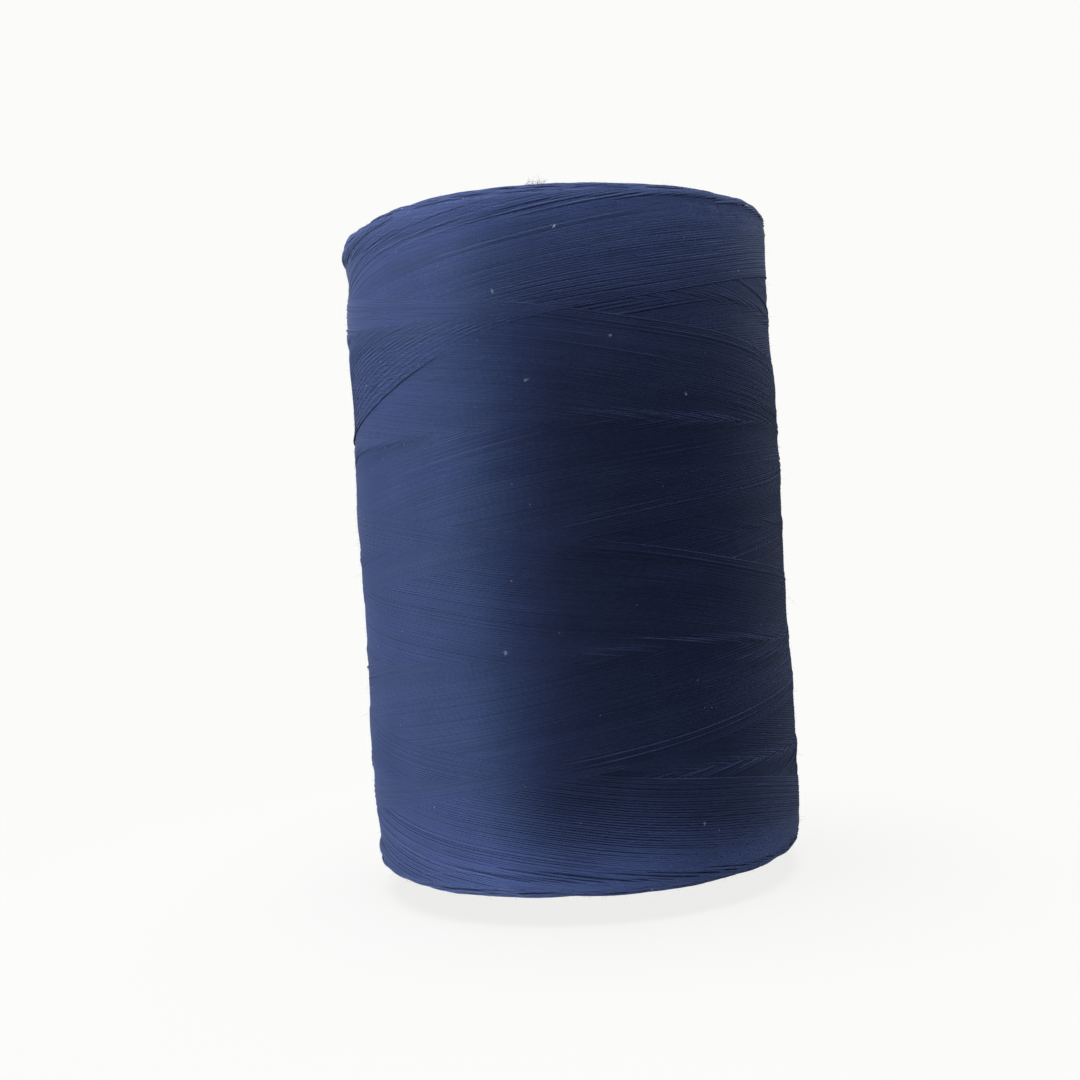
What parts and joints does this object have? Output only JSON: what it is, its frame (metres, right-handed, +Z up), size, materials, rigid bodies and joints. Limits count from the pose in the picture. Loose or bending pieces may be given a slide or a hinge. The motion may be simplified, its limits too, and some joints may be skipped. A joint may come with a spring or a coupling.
{
  "type": "spool of sewing thread",
  "caption": "Parallel cross-wound package of sewing thread on a plain hollow paperboard tube, standing upright, with a blank ticket label inside the bore.",
  "frame": {"origin": "centre of the tube's lower end, on the surface that the spool stands on", "axes": "+Z up along the tube; -Y is the side that the picture shows"},
  "size_m": [0.0666, 0.0666, 0.102],
  "materials": {
    "thread": "matte, slightly fuzzy spun polyester, navy blue",
    "paperboard": "uncoated spiral-wound paperboard with burnished ends",
    "label_paper": "smooth uncoated white paper"
  },
  "bodies": {
    "root": {"core_tube": "paperboard", "thread_winding": "thread", "start_tail": "thread", "finish_wrap": "thread", "bore_label": "label_paper"}
  },
  "joints": []
}
